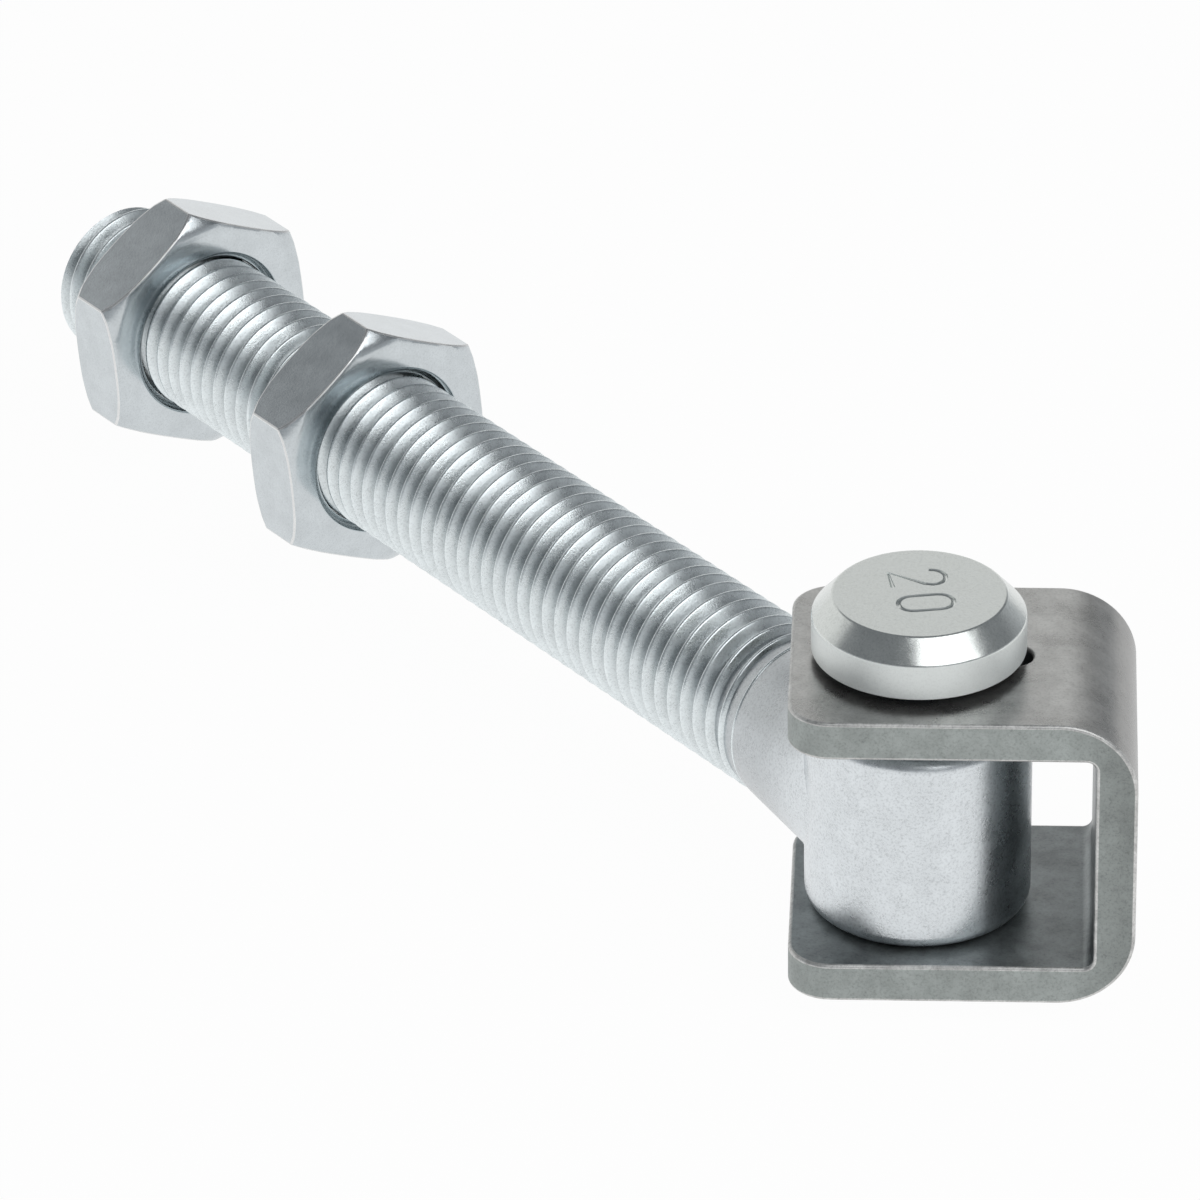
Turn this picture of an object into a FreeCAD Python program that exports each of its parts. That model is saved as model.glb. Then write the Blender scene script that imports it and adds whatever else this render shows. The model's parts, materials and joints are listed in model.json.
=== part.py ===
"""Adjustable gate hinge: a folded U bracket, an eye bolt that swings on a headed pin, and two nuts.

Millimetres, +Z up. The origin is the centre of the weld face, the outside of the bracket's web.
The bracket's legs reach out along -X, and the pin stands along Z between them.
"""
import FreeCAD
import Part
import Sketcher
import math
import os

Vector = FreeCAD.Vector
TOLERANCE = 1e-4
QUARTER_TURN = math.pi / 2
# How far a cut's outline stands clear of the solid that it cuts
CUT_MARGIN = 0.5

# Driving dimensions: name, value, what it is
SIZES = (
    ("strip_width", 32.0, "width of the folded strip"),
    ("strip_thickness", 4.8, "thickness of the folded strip"),
    ("leg_length", 40.0, "weld face to the open end of the legs"),
    ("fold_inner_radius", 1.2, "inside of the two folds"),
    ("fold_outer_radius", 9.0, "outside of the two folds"),
    ("leg_corner_radius", 5.0, "rounded corners at the open end"),
    ("pin_to_weld_face", 25.2, "pin axis to the weld face"),
    ("pin_diameter", 16.0, "shank of the hinge pin"),
    ("pin_clearance", 0.05, "radial play of the pin in the eye and the legs"),
    ("notch_width", 4.4, "notch in the upper leg"),
    ("notch_reach", 13.1, "pin axis to the round end of the notch"),
    ("head_diameter", 24.8, "rim of the pin head"),
    ("head_rim_height", 4.4, "height of the rim"),
    ("head_top_diameter", 20.1, "flat top inside the chamfer"),
    ("head_chamfer_height", 2.6, "height of the chamfer"),
    ("shoulder_diameter", 20.0, "shoulder under the head"),
    ("shoulder_height", 1.1, "height of the shoulder"),
    ("nib_reach", 11.6, "pin axis to the end of the nib"),
    ("nib_depth", 3.0, "how far the nib reaches into the notch"),
    ("nib_clearance", 0.2, "play of the nib on each side of the notch"),
    ("ring_thickness", 1.0, "thickness of the retaining ring"),
    ("ring_play", 0.1, "ring to the leg and to the groove's lower side"),
    ("ring_grip_clearance", 0.02, "ring to the floor of the groove"),
    ("groove_depth", 0.4, "depth of the ring's groove"),
    ("ring_back_width", 2.2, "radial width of the ring opposite its gap"),
    ("ring_tip_width", 1.5, "radial width of the ring beside its gap"),
    ("ring_opening", 3.6, "gap between the ring's two ends"),
    ("lug_diameter", 4.4, "lug at each end of the ring"),
    ("lug_hole_diameter", 1.7, "plier hole in a lug"),
    ("pin_end_land", 1.8, "pin below the groove"),
    ("pin_end_chamfer", 1.0, "chamfer at the pin's lower end"),
    ("eye_diameter", 26.4, "barrel of the eye"),
    ("eye_height", 25.4, "height of the barrel"),
    ("eye_edge_radius", 1.8, "rounded edges of the barrel"),
    ("eye_seat_clearance", 0.2, "barrel to the lower leg"),
    ("eye_top_clearance", 1.9, "barrel to the upper leg"),
    ("shank_diameter", 20.0, "outside of the thread"),
    ("shank_reach", 166.3, "pin axis to the free end of the shank"),
    ("shank_end_chamfer", 1.6, "chamfer at the free end"),
    ("neck_set_in", 0.2, "widest part of the tapered neck to the barrel's end faces"),
    ("neck_root_reach", 4.0, "pin axis to the widest part of the neck, inside the barrel"),
    ("neck_end_reach", 22.5, "pin axis to the start of the plain shank"),
    ("neck_blend_radius", 0.8, "blend between the neck and the barrel"),
    ("nut_across_flats", 29.2, "size of the hex"),
    ("nut_height", 9.2, "thickness of a nut"),
    ("nut_face_diameter", 28.4, "flat ring of a nut's face"),
    ("nut_chamfer_angle", 40.0, "slope of the corner chamfers"),
    ("nut_bore_clearance", 0.1, "radial play of a nut on the shank"),
    ("nut_countersink", 0.9, "depth and width of the chamfer at a nut's bore"),
    ("inner_nut_reach", 110.6, "pin axis to the middle of the inner nut"),
    ("outer_nut_reach", 149.7, "pin axis to the middle of the outer nut"),
    ("nut_turn", 4.7, "how far a nut's upper corner leans from upright"),
    ("swing", 50.9, "turn of the bolt from straight out of the bracket"),
)

# Sizes that follow from those: name, formula, what it is
DERIVED = (
    ("leg_gap", "= eye_height + eye_seat_clearance + eye_top_clearance", "clear height between the legs"),
    ("neck_root_radius", "= min(eye_height; eye_diameter) / 2 - neck_set_in", "widest part of the neck"),
)

# The words of a formula that stand for a cell of the sheet
SIZE_NAMES = {name for name, value, meaning in SIZES + DERIVED}

doc = FreeCAD.newDocument("gate_hinge")
sheet = doc.addObject("Spreadsheet::Sheet", "Sizes")
for row, (name, value, meaning) in enumerate(SIZES + DERIVED, start=1):
    sheet.set(f"A{row}", meaning)
    sheet.set(f"B{row}", str(value))
    sheet.setAlias(f"B{row}", name)
doc.recompute()


def size(text):
    """Turns a formula of size names into an expression on the sheet."""
    words = []
    for word in text.split():
        words.append(f"Sizes.{word}" if word in SIZE_NAMES else word)
    return " ".join(words)


def guess(text):
    """The present value of such a formula."""
    return float(doc.getObject("Sizes").evalExpression(size(text)))


def new_body(label, x="0", y="0", z="0", turn=None):
    """A body at its place in the hinge; turn is a formula for its angle about Z."""
    body = doc.addObject("PartDesign::Body", label)
    body.Label = label
    for axis, formula in zip("xyz", (x, y, z)):
        body.setExpression(f"Placement.Base.{axis}", size(formula))
    if turn:
        body.Placement.Rotation.Axis = Vector(0, 0, 1)
        body.setExpression("Placement.Rotation.Angle", size(turn))
    return body


def new_sketch(body, name, plane, offset=None):
    """A sketch on one of the body's own planes, raised by a formula where one is given."""
    sketch = body.newObject("Sketcher::SketchObject", name)
    support = [item for item in body.Origin.OriginFeatures if item.Role == plane][0]
    sketch.AttachmentSupport = [(support, "")]
    sketch.MapMode = "FlatFace"
    if offset:
        sketch.setExpression("AttachmentOffset.Base.z", size(offset))
    return sketch


def dimension(sketch, constraint, formula):
    """Adds a constraint whose value follows a formula."""
    index = sketch.addConstraint(constraint)
    sketch.setExpression(f"Constraints[{index}]", size(formula))


def hold_point(sketch, geometry, position, formulas):
    """Fixes a point of the sketch at a pair of formulas."""
    for kind, formula in zip(("DistanceX", "DistanceY"), formulas):
        dimension(sketch, Sketcher.Constraint(kind, geometry, position, guess(formula)), formula)


def outline(sketch, corners):
    """A closed outline of straight lines through corners given as pairs of formulas."""
    points = [Vector(guess(x), guess(y), 0) for x, y in corners]
    first = sketch.GeometryCount
    count = len(points)
    for index in range(count):
        sketch.addGeometry(Part.LineSegment(points[index], points[(index + 1) % count]), False)
    for index in range(count):
        after = first + (index + 1) % count
        sketch.addConstraint(Sketcher.Constraint("Coincident", first + index, 2, after, 1))
        hold_point(sketch, first + index, 1, corners[index])


def circle(sketch, diameter, x="0", y="0"):
    """A circle whose diameter and centre are formulas."""
    centre = Vector(guess(x), guess(y), 0)
    ring = Part.Circle(centre, Vector(0, 0, 1), guess(diameter) / 2)
    index = sketch.addGeometry(ring, False)
    dimension(sketch, Sketcher.Constraint("Diameter", index, guess(diameter)), diameter)
    hold_point(sketch, index, 3, (x, y))


def pad(body, name, sketch, length, symmetric=False):
    """A solid raised from a sketch to a length given as a formula."""
    feature = body.newObject("PartDesign::Pad", name)
    feature.Profile = sketch
    feature.SideType = "Symmetric" if symmetric else "One side"
    feature.setExpression("Length", size(length))
    doc.recompute()
    return feature


def cut_through(body, name, sketch, symmetric=False, upwards=False):
    """A pocket through everything above the sketch, below it, or on both sides."""
    before = body.Shape.Volume
    feature = body.newObject("PartDesign::Pocket", name)
    feature.Profile = sketch
    feature.Type = "ThroughAll"
    feature.SideType = "Symmetric" if symmetric else "One side"
    feature.Reversed = upwards
    doc.recompute()
    must_shrink(body, name, before)
    return feature


def turned(body, name, sketch, axis, cut=False):
    """A solid, or a cut, turned about the sketch's H_Axis or V_Axis."""
    before = body.Shape.Volume if cut else 0
    kind = "PartDesign::Groove" if cut else "PartDesign::Revolution"
    feature = body.newObject(kind, name)
    feature.Profile = sketch
    feature.ReferenceAxis = (sketch, [axis])
    feature.Angle = 360
    doc.recompute()
    if cut:
        must_shrink(body, name, before)
    return feature


def must_shrink(body, name, before):
    """A cut that points away from the solid removes nothing and shows no error."""
    if body.Shape.Volume > before - TOLERANCE:
        raise RuntimeError(f"{name} cut nothing from {body.Label}")


def rounded(body, name, base, radius, wanted):
    """Rounds those edges of a feature that the wanted function picks."""
    edges = base.Shape.Edges
    names = [f"Edge{number}" for number, edge in enumerate(edges, start=1) if wanted(edge)]
    if not names:
        raise RuntimeError(f"{name} found no edge on {body.Label}")
    feature = body.newObject("PartDesign::Fillet", name)
    feature.Base = (base, names)
    feature.setExpression("Radius", size(radius))
    doc.recompute()
    return feature


def near(value, formula):
    """Whether a value is that of a formula."""
    return abs(value - guess(formula)) < TOLERANCE


def is_straight_along(edge, direction):
    """Whether an edge is a straight line in a direction."""
    if not isinstance(edge.Curve, Part.Line):
        return False
    return abs(abs(edge.Curve.Direction.dot(direction)) - 1) < TOLERANCE


def make_u_bracket():
    """A strip folded twice, with a hole in each leg and a notch beside the upper one."""
    body = new_body("u_bracket")
    half_gap = "leg_gap / 2"
    half_height = "( leg_gap / 2 + strip_thickness )"
    profile = new_sketch(body, "strip_profile", "XZ_Plane")
    outline(profile, (
        ("- leg_length", half_height),
        ("0", half_height),
        ("0", f"- {half_height}"),
        ("- leg_length", f"- {half_height}"),
        ("- leg_length", f"- {half_gap}"),
        ("- strip_thickness", f"- {half_gap}"),
        ("- strip_thickness", half_gap),
        ("- leg_length", half_gap),
    ))
    strip = pad(body, "strip", profile, "strip_width", symmetric=True)

    def on_fold(edge, x_formula):
        return is_straight_along(edge, Vector(0, 1, 0)) and near(edge.CenterOfMass.x, x_formula)

    outside = rounded(body, "outer_folds", strip, "fold_outer_radius", lambda edge: on_fold(edge, "0"))
    inside = rounded(body, "inner_folds", outside, "fold_inner_radius",
                     lambda edge: on_fold(edge, "- strip_thickness"))

    def at_leg_end(edge):
        return is_straight_along(edge, Vector(0, 0, 1)) and near(edge.CenterOfMass.x, "- leg_length")

    rounded(body, "leg_corners", inside, "leg_corner_radius", at_leg_end)

    hole = new_sketch(body, "pin_hole_outline", "XY_Plane")
    circle(hole, "pin_diameter + 2 * pin_clearance", "- pin_to_weld_face")
    cut_through(body, "pin_holes", hole, symmetric=True)

    notch = new_sketch(body, "notch_outline", "XY_Plane")
    slot(notch, "- pin_to_weld_face", "notch_reach - pin_to_weld_face", "notch_width")
    cut_through(body, "notch", notch, upwards=True)
    return body


def slot(sketch, start_x, tip_x, width):
    """An outline along X with a straight start and a round tip."""
    tip_centre = f"{tip_x} - {width} / 2"
    top = f"{width} / 2"
    bottom = f"- {width} / 2"
    corners = [(tip_centre, top), (start_x, top), (start_x, bottom), (tip_centre, bottom)]
    points = [Vector(guess(x), guess(y), 0) for x, y in corners]
    for index in range(3):
        sketch.addGeometry(Part.LineSegment(points[index], points[index + 1]), False)
    centre = Vector(guess(tip_centre), 0, 0)
    half_turn = Part.ArcOfCircle(Part.Circle(centre, Vector(0, 0, 1), guess(top)), -QUARTER_TURN, QUARTER_TURN)
    arc = sketch.addGeometry(half_turn, False)
    for index in range(2):
        sketch.addConstraint(Sketcher.Constraint("Coincident", index, 2, index + 1, 1))
    for index in range(3):
        hold_point(sketch, index, 1, corners[index])
    hold_point(sketch, 2, 2, corners[3])
    sketch.addConstraint(Sketcher.Constraint("Tangent", 2, 2, arc, 1))
    sketch.addConstraint(Sketcher.Constraint("Coincident", arc, 2, 0, 1))


def make_hinge_pin():
    """A turned pin with a chamfered head, a shoulder, a ring groove and a nib for the notch."""
    body = new_body("hinge_pin", x="- pin_to_weld_face", z="leg_gap / 2 + strip_thickness")
    under_leg = "- ( leg_gap + 2 * strip_thickness )"
    groove_floor = "pin_diameter / 2 - groove_depth"
    groove_bottom = f"{under_leg} - ring_thickness - 2 * ring_play"
    pin_end = f"{groove_bottom} - pin_end_land"
    head_top = "shoulder_height + head_rim_height + head_chamfer_height"
    profile = new_sketch(body, "pin_profile", "XZ_Plane")
    outline(profile, (
        ("0", head_top),
        ("head_top_diameter / 2", head_top),
        ("head_diameter / 2", "shoulder_height + head_rim_height"),
        ("head_diameter / 2", "shoulder_height"),
        ("shoulder_diameter / 2", "shoulder_height"),
        ("shoulder_diameter / 2", "0"),
        ("pin_diameter / 2", "0"),
        ("pin_diameter / 2", under_leg),
        (groove_floor, under_leg),
        (groove_floor, groove_bottom),
        ("pin_diameter / 2", groove_bottom),
        ("pin_diameter / 2", f"{pin_end} + pin_end_chamfer"),
        ("pin_diameter / 2 - pin_end_chamfer", pin_end),
        ("0", pin_end),
    ))
    turned(body, "pin", profile, "V_Axis")
    nib = new_sketch(body, "nib_outline", "XY_Plane", offset="- nib_depth")
    half_nib = "( notch_width / 2 - nib_clearance )"
    outline(nib, (
        ("0", f"- {half_nib}"),
        ("nib_reach", f"- {half_nib}"),
        ("nib_reach", half_nib),
        ("0", half_nib),
    ))
    pad(body, "nib", nib, "nib_depth + shoulder_height")
    return body


def make_retaining_ring():
    """A snap ring for the pin's groove: it narrows towards its gap and ends in two lugs."""
    under_leg = "- ( leg_gap / 2 + strip_thickness )"
    body = new_body("retaining_ring", x="- pin_to_weld_face", z=f"{under_leg} - ring_play - ring_thickness")
    bore = "( pin_diameter - 2 * groove_depth + 2 * ring_grip_clearance )"
    plate = new_sketch(body, "ring_outline", "XY_Plane")
    circle(plate, f"{bore} + ring_back_width + ring_tip_width", "( ring_back_width - ring_tip_width ) / 2")
    pad(body, "ring_plate", plate, "ring_thickness")
    lugs = new_sketch(body, "lug_outlines", "XY_Plane")
    lug_x = f"- {bore} / 2 - lug_diameter / 2"
    lug_y = "( ring_opening + lug_diameter ) / 2"
    circle(lugs, "lug_diameter", lug_x, lug_y)
    circle(lugs, "lug_diameter", lug_x, f"- {lug_y}")
    pad(body, "lugs", lugs, "ring_thickness")
    holes = new_sketch(body, "ring_holes", "XY_Plane")
    circle(holes, bore)
    circle(holes, "lug_hole_diameter", lug_x, lug_y)
    circle(holes, "lug_hole_diameter", lug_x, f"- {lug_y}")
    cut_through(body, "bore_and_plier_holes", holes, upwards=True)
    gap = new_sketch(body, "gap_outline", "XY_Plane")
    outline(gap, (
        ("0", "- ring_opening / 2"),
        ("0", "ring_opening / 2"),
        (f"{lug_x} - lug_diameter", "ring_opening / 2"),
        (f"{lug_x} - lug_diameter", "- ring_opening / 2"),
    ))
    cut_through(body, "gap", gap, upwards=True)
    return body


def shank_height():
    """Height of the shank's axis: the eye stands on the lower leg, and the shank leaves it half-way up."""
    return "- leg_gap / 2 + eye_seat_clearance + eye_height / 2"


def make_eye_bolt():
    """One forging: a barrel round the pin, a tapered neck and a long shank along the body's X."""
    body = new_body("eye_bolt", x="- pin_to_weld_face", z=shank_height(), turn="180 - swing")
    barrel = new_sketch(body, "barrel_profile", "XZ_Plane")
    outline(barrel, (
        ("0", "- eye_height / 2"),
        ("eye_diameter / 2", "- eye_height / 2"),
        ("eye_diameter / 2", "eye_height / 2"),
        ("0", "eye_height / 2"),
    ))
    blank = turned(body, "barrel", barrel, "V_Axis")
    rounded(body, "barrel_edges", blank, "eye_edge_radius", lambda edge: isinstance(edge.Curve, Part.Circle))
    radius = "shank_diameter / 2"
    shank = new_sketch(body, "shank_profile", "XZ_Plane")
    outline(shank, (
        ("0", "0"),
        ("shank_reach", "0"),
        ("shank_reach", f"{radius} - shank_end_chamfer"),
        ("shank_reach - shank_end_chamfer", radius),
        ("neck_end_reach", radius),
        ("neck_root_reach", "neck_root_radius"),
        ("0", "neck_root_radius"),
    ))
    forging = turned(body, "neck_and_shank", shank, "H_Axis")
    rounded(body, "neck_blend", forging, "neck_blend_radius",
            lambda edge: not isinstance(edge.Curve, (Part.Line, Part.Circle)))
    bore = new_sketch(body, "eye_bore_outline", "XY_Plane")
    circle(bore, "pin_diameter + 2 * pin_clearance")
    cut_through(body, "eye_bore", bore, symmetric=True)
    return body


def make_nut(label, reach):
    """A thin hex nut with chamfered corners on both faces, its axis along the shank."""
    body = new_body(label, turn="180 - swing")
    body.setExpression("Placement.Base.x", size(f"- pin_to_weld_face - {reach} * cos( swing * 1deg )"))
    body.setExpression("Placement.Base.y", size(f"{reach} * sin( swing * 1deg )"))
    body.setExpression("Placement.Base.z", size(shank_height()))
    hexagon = new_sketch(body, "hex_outline", "YZ_Plane")
    corner = "nut_across_flats / sqrt( 3 )"
    angles = [f"( nut_turn + {60 * step} ) * 1deg" for step in range(6)]
    outline(hexagon, [(f"{corner} * sin( {angle} )", f"{corner} * cos( {angle} )") for angle in angles])
    pad(body, "hex", hexagon, "nut_height", symmetric=True)
    half = "nut_height / 2"
    rim = f"( {corner} + {CUT_MARGIN} )"
    face = "nut_face_diameter / 2"
    drop = f"( {rim} - {face} ) * tan( nut_chamfer_angle * 1deg )"
    chamfers = new_sketch(body, "chamfer_profiles", "XY_Plane")
    outline(chamfers, ((half, face), (half, rim), (f"{half} - {drop}", rim)))
    outline(chamfers, ((f"- {half}", face), (f"- {half}", rim), (f"- {half} + {drop}", rim)))
    turned(body, "corner_chamfers", chamfers, "H_Axis", cut=True)
    bore = "shank_diameter / 2 + nut_bore_clearance"
    mouth = f"{bore} + nut_countersink"
    shoulder = f"{half} - nut_countersink"
    hole = new_sketch(body, "bore_profile", "XY_Plane")
    outline(hole, (
        (f"- {half}", "0"),
        (half, "0"),
        (half, mouth),
        (shoulder, bore),
        (f"- ( {shoulder} )", bore),
        (f"- {half}", mouth),
    ))
    turned(body, "bore", hole, "H_Axis", cut=True)
    return body


def check(bodies):
    """Stops before anything is written if an object failed or a piece isn't one valid solid."""
    for item in doc.Objects:
        if "Invalid" in item.State or "Error" in item.State:
            raise RuntimeError(f"{item.Label} is {item.State}")
    for body in bodies:
        if body.Shape.isNull() or not body.Shape.isValid():
            raise RuntimeError(f"{body.Label} has no valid shape")
        if len(body.Shape.Solids) != 1:
            raise RuntimeError(f"{body.Label} is {len(body.Shape.Solids)} solids")


pieces = [
    make_u_bracket(),
    make_hinge_pin(),
    make_retaining_ring(),
    make_eye_bolt(),
    make_nut("inner_nut", "inner_nut_reach"),
    make_nut("outer_nut", "outer_nut_reach"),
]
doc.recompute()
check(pieces)
os.makedirs("parts", exist_ok=True)
for piece in pieces:
    piece.Shape.exportStep(f"parts/{piece.Label}.step")
    print(piece.Label, round(piece.Shape.Volume, 1), piece.Shape.BoundBox)
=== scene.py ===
"""The looks of an adjustable gate hinge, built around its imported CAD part.

Metres, +Z up. The origin is the centre of the weld face, the outside of the bracket's web.
"""

import json
import math

import bpy
from bpy.props import FloatProperty, FloatVectorProperty, IntProperty, PointerProperty
from mathutils import Matrix, Quaternion, Vector

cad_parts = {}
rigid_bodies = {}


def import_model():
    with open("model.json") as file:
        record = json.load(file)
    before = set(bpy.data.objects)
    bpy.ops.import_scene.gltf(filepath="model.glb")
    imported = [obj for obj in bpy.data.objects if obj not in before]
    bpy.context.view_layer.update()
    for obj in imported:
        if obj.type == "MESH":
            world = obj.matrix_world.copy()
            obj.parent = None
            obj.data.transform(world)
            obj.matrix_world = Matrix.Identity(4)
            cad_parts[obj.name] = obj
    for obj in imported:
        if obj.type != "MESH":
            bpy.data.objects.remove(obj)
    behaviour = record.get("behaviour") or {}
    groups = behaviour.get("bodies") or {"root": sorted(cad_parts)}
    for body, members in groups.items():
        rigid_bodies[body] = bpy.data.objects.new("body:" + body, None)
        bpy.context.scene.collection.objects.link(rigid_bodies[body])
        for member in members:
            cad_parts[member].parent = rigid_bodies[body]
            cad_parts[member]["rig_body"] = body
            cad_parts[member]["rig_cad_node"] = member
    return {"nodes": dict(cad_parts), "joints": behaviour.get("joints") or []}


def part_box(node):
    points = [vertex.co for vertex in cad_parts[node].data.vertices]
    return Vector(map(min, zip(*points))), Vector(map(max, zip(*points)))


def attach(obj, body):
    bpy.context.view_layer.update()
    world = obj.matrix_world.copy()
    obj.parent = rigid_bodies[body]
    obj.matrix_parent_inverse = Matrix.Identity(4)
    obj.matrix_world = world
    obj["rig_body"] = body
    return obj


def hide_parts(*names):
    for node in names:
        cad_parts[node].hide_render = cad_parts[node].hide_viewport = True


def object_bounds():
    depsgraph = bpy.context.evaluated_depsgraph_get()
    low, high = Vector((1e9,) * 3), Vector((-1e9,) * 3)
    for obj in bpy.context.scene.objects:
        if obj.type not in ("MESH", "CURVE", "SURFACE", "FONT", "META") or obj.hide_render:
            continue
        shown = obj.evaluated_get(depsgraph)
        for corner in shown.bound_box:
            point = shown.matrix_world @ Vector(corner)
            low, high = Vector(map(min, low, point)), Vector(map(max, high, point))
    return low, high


bl_info = {
    "name": "Gate hinge looks",
    "version": (1, 0, 0),
    "blender": (4, 5, 0),
    "location": "3D View > Sidebar > Gate hinge",
    "description": "Dresses the packed gate hinge: thread, stamped pin head, soft edges, metals and a studio",
    "category": "Object",
}

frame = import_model()
CAD_LOW, CAD_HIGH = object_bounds()

MM = 0.001
# Points nearer than this are one point
SAME_POINT = 0.001 * MM
JOINTS = {joint["name"]: joint for joint in frame["joints"]}
# The eye's centre on the pin axis, and the way the shank runs from there
EYE_CENTRE = Vector(JOINTS["swing"]["pos_m"])
ALONG = Vector(JOINTS["inner_nut_travel"]["axis"]).normalized()
UP = Vector((0, 0, 1))
# Turns a piece modelled along +X, with +Z up, into the shank's direction
SHANK_TURN = Matrix((ALONG, UP.cross(ALONG), UP)).transposed().to_4x4()


def reach_of(point):
    """Distance of a point from the pin axis, along the shank."""
    return (Vector(point) - EYE_CENTRE).dot(ALONG)


SHANK_REACH = max(reach_of(vertex.co) for vertex in frame["nodes"]["eye_bolt"].data.vertices)
PIN_LOW, PIN_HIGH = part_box("hinge_pin")


def linear(code):
    """An sRGB hex colour as linear red, green, blue and alpha."""
    parts = [int(code[place:place + 2], 16) / 255 for place in (1, 3, 5)]
    return [part / 12.92 if part <= 0.04045 else ((part + 0.055) / 1.055) ** 2.4 for part in parts] + [1.0]


class ShankSizes(bpy.types.PropertyGroup):
    """The rolled thread."""
    diameter: FloatProperty(
        name="Diameter", description="Outside of the thread", default=20.0 * MM, unit="LENGTH")
    pitch: FloatProperty(
        name="Pitch", description="Coarse pitch of this diameter", default=2.5 * MM, unit="LENGTH")
    depth: FloatProperty(
        name="Depth", description="Crest to root of the thread", default=1.45 * MM, unit="LENGTH")
    end_chamfer: FloatProperty(
        name="End chamfer", description="Lead-in at the free end", default=1.6 * MM, unit="LENGTH")
    start_reach: FloatProperty(
        name="Start", description="Pin axis to where the thread is lost in the neck", default=21.2 * MM,
        unit="LENGTH")
    full_reach: FloatProperty(
        name="Full thread", description="Pin axis to where the thread has its full depth", default=29.5 * MM,
        unit="LENGTH")
    steps: IntProperty(name="Steps", description="Facets round one turn", default=72)
    colour: FloatVectorProperty(
        name="Thread", description="Colour of the plated thread", default=linear("#E7EEF0")[:3],
        subtype="COLOR")
    forging_colour: FloatVectorProperty(
        name="Forging", description="Colour of the plated eye and neck", default=linear("#DEE3E6")[:3],
        subtype="COLOR")


class NutSizes(bpy.types.PropertyGroup):
    """The two hex nuts."""
    across_flats: FloatProperty(
        name="Across flats", description="Size of the hex", default=29.2 * MM, unit="LENGTH")
    height: FloatProperty(name="Height", description="Thickness of a nut", default=9.2 * MM, unit="LENGTH")
    face_diameter: FloatProperty(
        name="Face", description="Flat ring of a nut's face", default=28.0 * MM, unit="LENGTH")
    chamfer_angle: FloatProperty(
        name="Chamfer", description="Slope at the middle of the rounded chamfers", default=math.radians(34),
        subtype="ANGLE")
    chamfer_bend: FloatProperty(
        name="Chamfer bend", description="How much a rounded chamfer's slope grows from facet to facet",
        default=math.radians(16), subtype="ANGLE")
    bore_diameter: FloatProperty(
        name="Bore", description="Hole round the thread", default=20.2 * MM, unit="LENGTH")
    countersink: FloatProperty(
        name="Countersink", description="Chamfer at the bore", default=0.9 * MM, unit="LENGTH")
    turn: FloatProperty(
        name="Turn", description="Lean of a nut's upper corner from upright", default=math.radians(4.7),
        subtype="ANGLE")
    edge: FloatProperty(name="Edge", description="Softness of the edges", default=0.2 * MM, unit="LENGTH")
    colour: FloatVectorProperty(
        name="Zinc", description="Colour of the plated nuts", default=linear("#CBD1D4")[:3], subtype="COLOR")
    # The nuts' bevelled edges take a lighter colour as a painted highlight
    edge_highlight_colour: FloatVectorProperty(
        name="Edge highlights", description="Colour of the nuts' edges, lightened as painted highlight", default=linear("#E6E7E7")[:3],
        subtype="COLOR")
    steps: IntProperty(name="Steps", description="Facets round a nut", default=144)


class PinSizes(bpy.types.PropertyGroup):
    """The headed pin and the number stamped on it."""
    edge: FloatProperty(
        name="Edge", description="Softness of the turned edges", default=0.22 * MM, unit="LENGTH")
    head_height: FloatProperty(
        name="Head height", description="Rim and chamfer of the head", default=7.0 * MM, unit="LENGTH")
    stamp_height: FloatProperty(
        name="Stamp height", description="Height of the figures", default=6.4 * MM, unit="LENGTH")
    stamp_width: FloatProperty(
        name="Stamp width", description="Width of one figure", default=3.4 * MM, unit="LENGTH")
    stamp_pitch: FloatProperty(
        name="Stamp pitch", description="From one figure to the next", default=5.7 * MM, unit="LENGTH")
    stamp_place: FloatVectorProperty(
        name="Stamp place", description="Middle of the figures from the middle of the head",
        default=(0.3 * MM, 0.65 * MM, 0.0), subtype="TRANSLATION")
    stamp_turn: FloatProperty(
        name="Stamp turn", description="The way the figures read, from +X", default=math.radians(-80),
        subtype="ANGLE")
    stamp_stroke: FloatProperty(
        name="Stamp line", description="Width of the figures' line", default=0.6 * MM, unit="LENGTH")
    colour: FloatVectorProperty(
        name="Plate", description="Colour of the turned pin", default=linear("#DDE1DF")[:3], subtype="COLOR")
    # The rim's colour is lighter than the plate's, as a painted highlight
    rim_highlight_colour: FloatVectorProperty(
        name="Rim", description="Colour of the head's dull rim, lightened as painted highlight", default=linear("#F2F6F4")[:3],
        subtype="COLOR")
    # The dark colour below the head is painted shade under the rim
    under_head_shade_colour: FloatVectorProperty(
        name="Under-head shade", description="Colour of the pin below its head", default=linear("#4C4E4F")[:3],
        subtype="COLOR")
    ring_colour: FloatVectorProperty(
        name="Ring", description="Colour of the retaining ring", default=linear("#505153")[:3],
        subtype="COLOR")


class BracketSizes(bpy.types.PropertyGroup):
    """The folded strip."""
    edge: FloatProperty(
        name="Edge", description="Softness of the strip's edges", default=0.4 * MM, unit="LENGTH")
    rolled_colour: FloatVectorProperty(
        name="Rolled faces", description="Colour of the strip's outer faces", default=linear("#C2C2C0")[:3],
        subtype="COLOR")
    # The inner faces' colour is darker as painted shade inside the U
    inner_shade_colour: FloatVectorProperty(
        name="Inner shade", description="Colour of the strip's inner faces", default=linear("#9BA0A1")[:3],
        subtype="COLOR")
    sheared_colour: FloatVectorProperty(
        name="Sheared edges", description="Colour of the strip's sheared edges",
        default=linear("#B5BBB8")[:3], subtype="COLOR")
    # The bevelled edges' colour is lighter as a painted highlight
    painted_edge_highlight_colour: FloatVectorProperty(
        name="Edge highlights", description="Colour of the strip's edges, lightened as painted highlight", default=linear("#D2D2D0")[:3],
        subtype="COLOR")


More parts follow.
